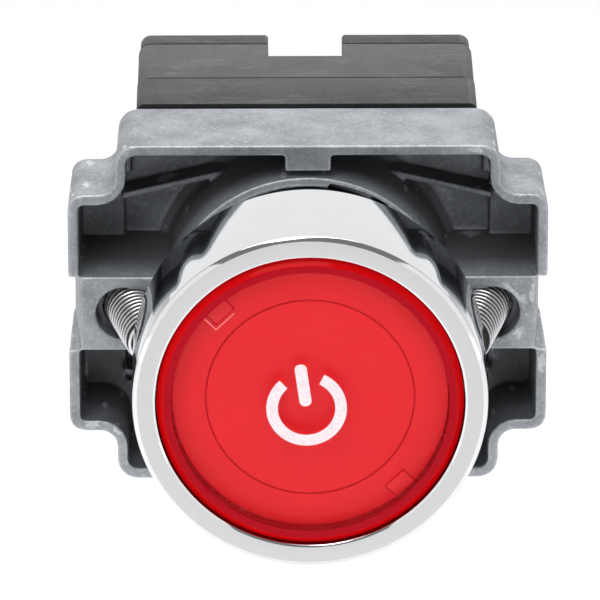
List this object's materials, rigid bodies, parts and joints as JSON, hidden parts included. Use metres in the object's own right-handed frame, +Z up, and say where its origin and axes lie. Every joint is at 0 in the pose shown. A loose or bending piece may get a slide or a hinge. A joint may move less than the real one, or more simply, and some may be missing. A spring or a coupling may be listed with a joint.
{
  "type": "industrial push button",
  "caption": "Panel-mounted momentary push button: chromed ring, red cap, cast mounting collar with inclined clamp screws, and a contact block on its rear.",
  "frame": {"origin": "on the button axis, where the gasket meets the front of the panel", "axes": "+X to the right seen from the front, +Y rearwards through the panel, +Z up"},
  "size_m": [0.0406, 0.0478, 0.03],
  "materials": {
    "chrome_ring": "polished",
    "gasket_rubber": "matt",
    "red_lens": "gloss",
    "red_disc": "satin",
    "pusher_plastic": "satin",
    "seal_rubber": "matt",
    "spring_steel": "drawn wire",
    "cast_zinc": "as cast",
    "block_plastic": "matt",
    "zinc_steel": "bright zinc plated",
    "contact_brass": "satin",
    "contact_silver": "satin",
    "plunger_plastic": "satin"
  },
  "bodies": {
    "housing": {"bezel": "chrome_ring", "panel_gasket": "gasket_rubber", "mounting_collar": "cast_zinc", "block_base": "block_plastic", "block_cover": "block_plastic", "terminal_guard_left": "block_plastic", "terminal_guard_right": "block_plastic", "fixed_contact_left": "contact_brass", "fixed_contact_right": "contact_brass", "fixed_tip_left": "contact_silver", "fixed_tip_right": "contact_silver", "block_fixing_screw": "zinc_steel", "return_spring": "spring_steel", "plunger_spring": "spring_steel"},
    "actuator": {"lens": "red_lens", "legend_disc": "red_disc", "pusher": "pusher_plastic", "pusher_seal": "seal_rubber", "drive_plate": "pusher_plastic", "retaining_clip": "spring_steel"},
    "plunger": {"block_plunger": "plunger_plastic", "plunger_clip": "spring_steel", "contact_spring": "spring_steel"},
    "bridge": {"bridge_contact": "contact_brass", "bridge_tip_left": "contact_silver", "bridge_tip_right": "contact_silver"},
    "clamp_screw_left": {"clamp_screw_left": "zinc_steel"},
    "clamp_screw_right": {"clamp_screw_right": "zinc_steel"},
    "terminal_left": {"terminal_screw_left": "zinc_steel", "saddle_clamp_left": "zinc_steel"},
    "terminal_right": {"terminal_screw_right": "zinc_steel", "saddle_clamp_right": "zinc_steel"}
  },
  "joints": [
    {"name": "push", "type": "slide", "parent": "housing", "child": "actuator", "axis": [0, 1, 0], "range_m": [0, 0.004], "stiffness_N_per_m": 600, "springref_m": -0.004, "deforming": ["return_spring"]},
    {"name": "plunger_travel", "type": "slide", "parent": "housing", "child": "plunger", "axis": [0, 1, 0], "range_m": [0, 0.004], "deforming": ["plunger_spring", "contact_spring"]},
    {"name": "bridge_travel", "type": "slide", "parent": "housing", "child": "bridge", "axis": [0, 1, 0], "range_m": [0, 0.00256]},
    {"name": "clamp_screw_left_slide", "type": "slide", "parent": "housing", "child": "clamp_screw_left", "axis": [-0.2351, 0.972, 0], "range_m": [0, 0.006]},
    {"name": "clamp_screw_right_slide", "type": "slide", "parent": "housing", "child": "clamp_screw_right", "axis": [0.2351, 0.972, 0], "range_m": [0, 0.006]},
    {"name": "terminal_screw_left_slide", "type": "slide", "parent": "housing", "child": "terminal_left", "axis": [0, 1, 0], "range_m": [0, 0.0025]},
    {"name": "terminal_screw_right_slide", "type": "slide", "parent": "housing", "child": "terminal_right", "axis": [0, 1, 0], "range_m": [0, 0.0025]}
  ],
  "couplings": [
    {"joint": "plunger_travel", "follows": "push", "ratio": 1},
    {"joint": "bridge_travel", "follows": "push", "ratio": 0.64}
  ]
}
